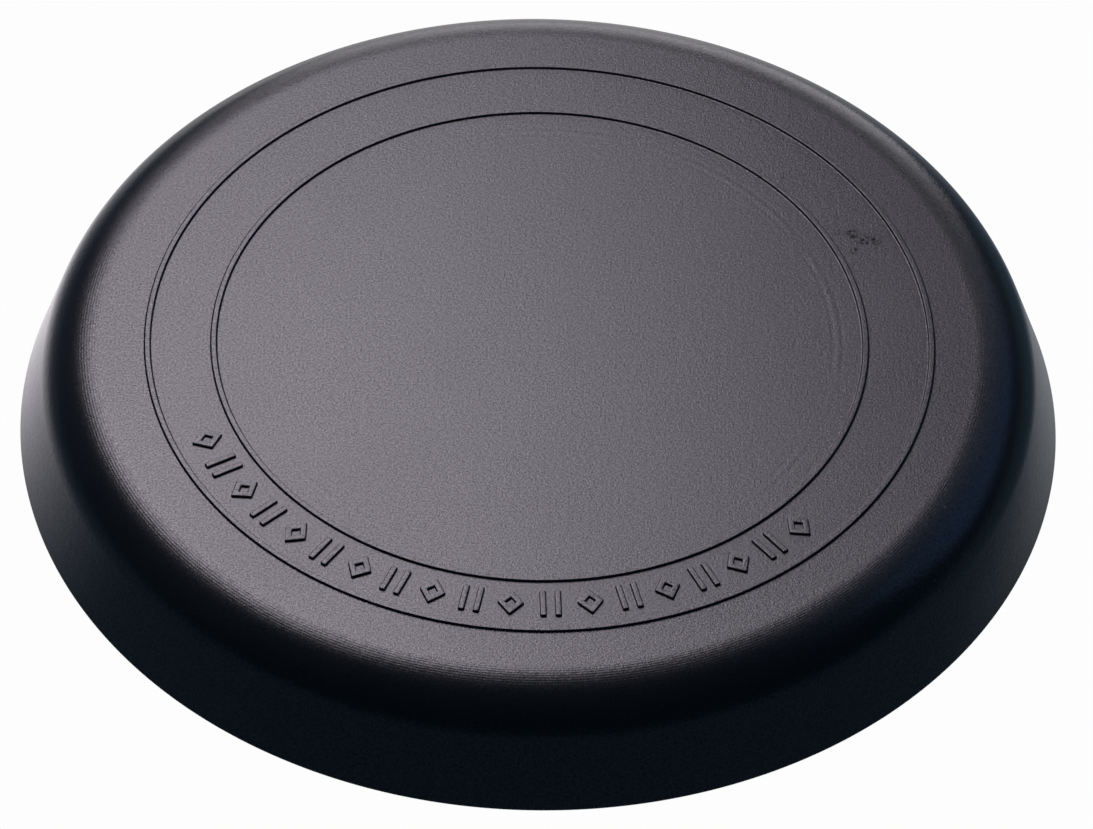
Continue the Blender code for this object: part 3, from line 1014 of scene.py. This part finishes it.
def add_area(name, left, height, distance, size, glow, tint):
    """A rectangular soft light that faces the pad, placed by its angles from straight behind."""
    turn = math.radians(left)
    rise = math.radians(height)
    level = math.cos(rise)
    away = Vector((-math.sin(turn) * level, math.cos(turn) * level, math.sin(rise)))
    lamp = bpy.data.lights.new(name, "AREA")
    lamp.shape = "RECTANGLE"
    lamp.size, lamp.size_y = size
    lamp.energy = glow * math.pi * size[0] * size[1]
    lamp.color = tint
    holder = link(bpy.data.objects.new(name, lamp))
    holder.location = away * distance
    holder.rotation_euler = (-away).to_track_quat("-Z", "Y").to_euler()


def make_lights():
    """A soft box behind the pad, a lit backdrop, a dim bluish fill and a lamp under the floor."""
    add_area("key", **KEY_LIGHT, tint=KEY_TINT)
    add_area("backdrop", **BACK_LIGHT, tint=BACK_TINT)
    add_area("side", **SIDE_LIGHT, tint=SIDE_TINT)
    add_area("under", **UNDER_LIGHT, tint=UNDER_TINT)


def make_world():
    """A dim bluish surround, which the camera sees as pale."""
    world = bpy.data.worlds.new("studio")
    bpy.context.scene.world = world
    world.use_nodes = True
    tree = world.node_tree
    dim = tree.nodes["Background"]
    dim.inputs["Color"].default_value = (*SURROUND, 1.0)
    dim.inputs["Strength"].default_value = 1.0
    pale = tree.nodes.new("ShaderNodeBackground")
    pale.inputs["Color"].default_value = (PALE, PALE, PALE, 1.0)
    path = tree.nodes.new("ShaderNodeLightPath")
    mix = tree.nodes.new("ShaderNodeMixShader")
    tree.links.new(path.outputs["Is Camera Ray"], mix.inputs["Fac"])
    tree.links.new(dim.outputs[0], mix.inputs[1])
    tree.links.new(pale.outputs[0], mix.inputs[2])
    tree.links.new(mix.outputs[0], tree.nodes["World Output"].inputs["Surface"])


def painted_floor_light(nodes):
    """The floor's painted light, by place: bright beside and behind the pad as painted pools of
    light, dark in front of it as the pad's painted shadow.
    """
    place = nodes.add("ShaderNodeNewGeometry").outputs["Position"]
    split = nodes.add("ShaderNodeSeparateXYZ", {"Vector": place})
    x = split.outputs["X"]
    y = split.outputs["Y"]
    reach = nodes.add("ShaderNodeVectorMath", {0: place}, operation="LENGTH").outputs["Value"]
    painted_left_pool = nodes.math(
        "MULTIPLY",
        nodes.spread(y, *LEFT_POOL_RISE, 0.0, 1.0, smooth=True),
        nodes.spread(reach, *LEFT_POOL_EDGE, 1.0, 0.0, smooth=True),
    )
    painted_right_pool = nodes.math(
        "MULTIPLY",
        nodes.spread(y, *RIGHT_POOL_RISE, 0.0, 1.0, smooth=True),
        nodes.spread(reach, *RIGHT_POOL_EDGE, 1.0, 0.0, smooth=True),
    )
    left = nodes.blend(painted_left_pool, FLOOR_PAINTED_SHADE, FLOOR_PAINTED_LEFT_POOL)
    right = nodes.blend(painted_right_pool, FLOOR_PAINTED_SHADE, FLOOR_PAINTED_RIGHT_POOL)
    sides = nodes.blend(nodes.spread(x, *MIDDLE_SEAM, 0.0, 1.0, smooth=True), left, right)
    # Painted light behind the pad, dimmer close to its rim as a painted shadow
    far = nodes.spread(y, *FAR_RISE, 0.0, 1.0, smooth=True)
    back = nodes.blend(far, FLOOR_PAINTED_BACK_LIGHT, FLOOR_PAINTED_FAR_LIGHT)
    behind = nodes.spread(y, *BACK_RISE, 0.0, 1.0, smooth=True)
    behind = nodes.math("MULTIPLY", behind, nodes.band(x, BACK_BAND))
    around = nodes.blend(behind, sides, back)
    # Painted light: under the pad the floor glows to light the board's underside
    under = nodes.spread(reach, *UNDER_EDGE, 1.0, 0.0, smooth=True)
    return nodes.blend(under, around, FLOOR_PAINTED_UNDER_LIGHT)


def make_floor():
    """A wide pale floor: even to the camera, glowing with painted pools of light and painted shadow
    to the rubber, clear from below.
    """
    mesh = bpy.data.meshes.new("floor")
    shape = bmesh.new()
    bmesh.ops.create_circle(shape, cap_ends=True, segments=64, radius=FLOOR_RADIUS)
    shape.to_mesh(mesh)
    shape.free()
    floor = link(bpy.data.objects.new("floor", mesh))
    floor.location.z = CAD_LOW.z - FLOOR_GAP
    nodes = Nodes("floor")
    nodes.tree.nodes.remove(nodes.shader)
    seen = nodes.add("ShaderNodeEmission", {"Color": (PALE, PALE, PALE, 1.0)})
    # Painted light: every ray but the camera's sees the floor glow with the painted pools of light
    # and painted shadow
    pool = nodes.add("ShaderNodeEmission", {"Color": painted_floor_light(nodes)})
    clear = nodes.add("ShaderNodeBsdfTransparent")
    path = nodes.add("ShaderNodeLightPath")
    side = nodes.add("ShaderNodeNewGeometry")
    above = nodes.add(
        "ShaderNodeMixShader",
        {0: path.outputs["Is Camera Ray"], 1: pool.outputs[0], 2: seen.outputs[0]},
    )
    both = nodes.add(
        "ShaderNodeMixShader",
        {0: side.outputs["Backfacing"], 1: above.outputs[0], 2: clear.outputs[0]},
    )
    nodes.tree.links.new(both.outputs[0], nodes.tree.nodes["Material Output"].inputs["Surface"])
    mesh.materials.append(nodes.material)


def make_camera():
    """The camera, at the photograph's viewing angle."""
    toward = Vector((0.0, -math.cos(CAMERA_ELEVATION), math.sin(CAMERA_ELEVATION)))
    place = toward * CAMERA_DISTANCE
    right = Vector((1.0, 0.0, 0.0))
    up = toward.cross(right)
    aim = right * AIM_RIGHT + up * AIM_UP
    forward = (aim - place).normalized()
    level = forward.cross(Vector((0.0, 0.0, 1.0))).normalized()
    sideways = Matrix.Rotation(CAMERA_ROLL, 3, forward) @ level
    upward = sideways.cross(forward)
    lens = bpy.data.cameras.new("camera")
    lens.lens = CAMERA_LENS
    lens.sensor_width = CAMERA_SENSOR
    lens.clip_end = CAMERA_REACH
    camera = link(bpy.data.objects.new("camera", lens))
    turn = Matrix((sideways, upward, -forward)).transposed()
    camera.matrix_world = Matrix.Translation(place) @ turn.to_4x4()
    bpy.context.scene.camera = camera


def main():
    """Builds the looks of the pad and its studio."""
    bpy.context.scene.view_settings.view_transform = "Standard"
    zinc = plated_steel("zinc_steel", **ZINC_STEEL)
    screw_steel = plated_steel("screw_steel", **SCREW_STEEL)
    make_cover(cover_rubber())
    make_disc(foam())
    make_board(fibreboard())
    make_insert(zinc)
    make_insert_screws(screw_steel)
    make_feet(foot_rubber())
    make_washers(zinc)
    make_foot_screws(screw_steel)
    make_floor()
    make_world()
    make_lights()
    make_camera()


main()
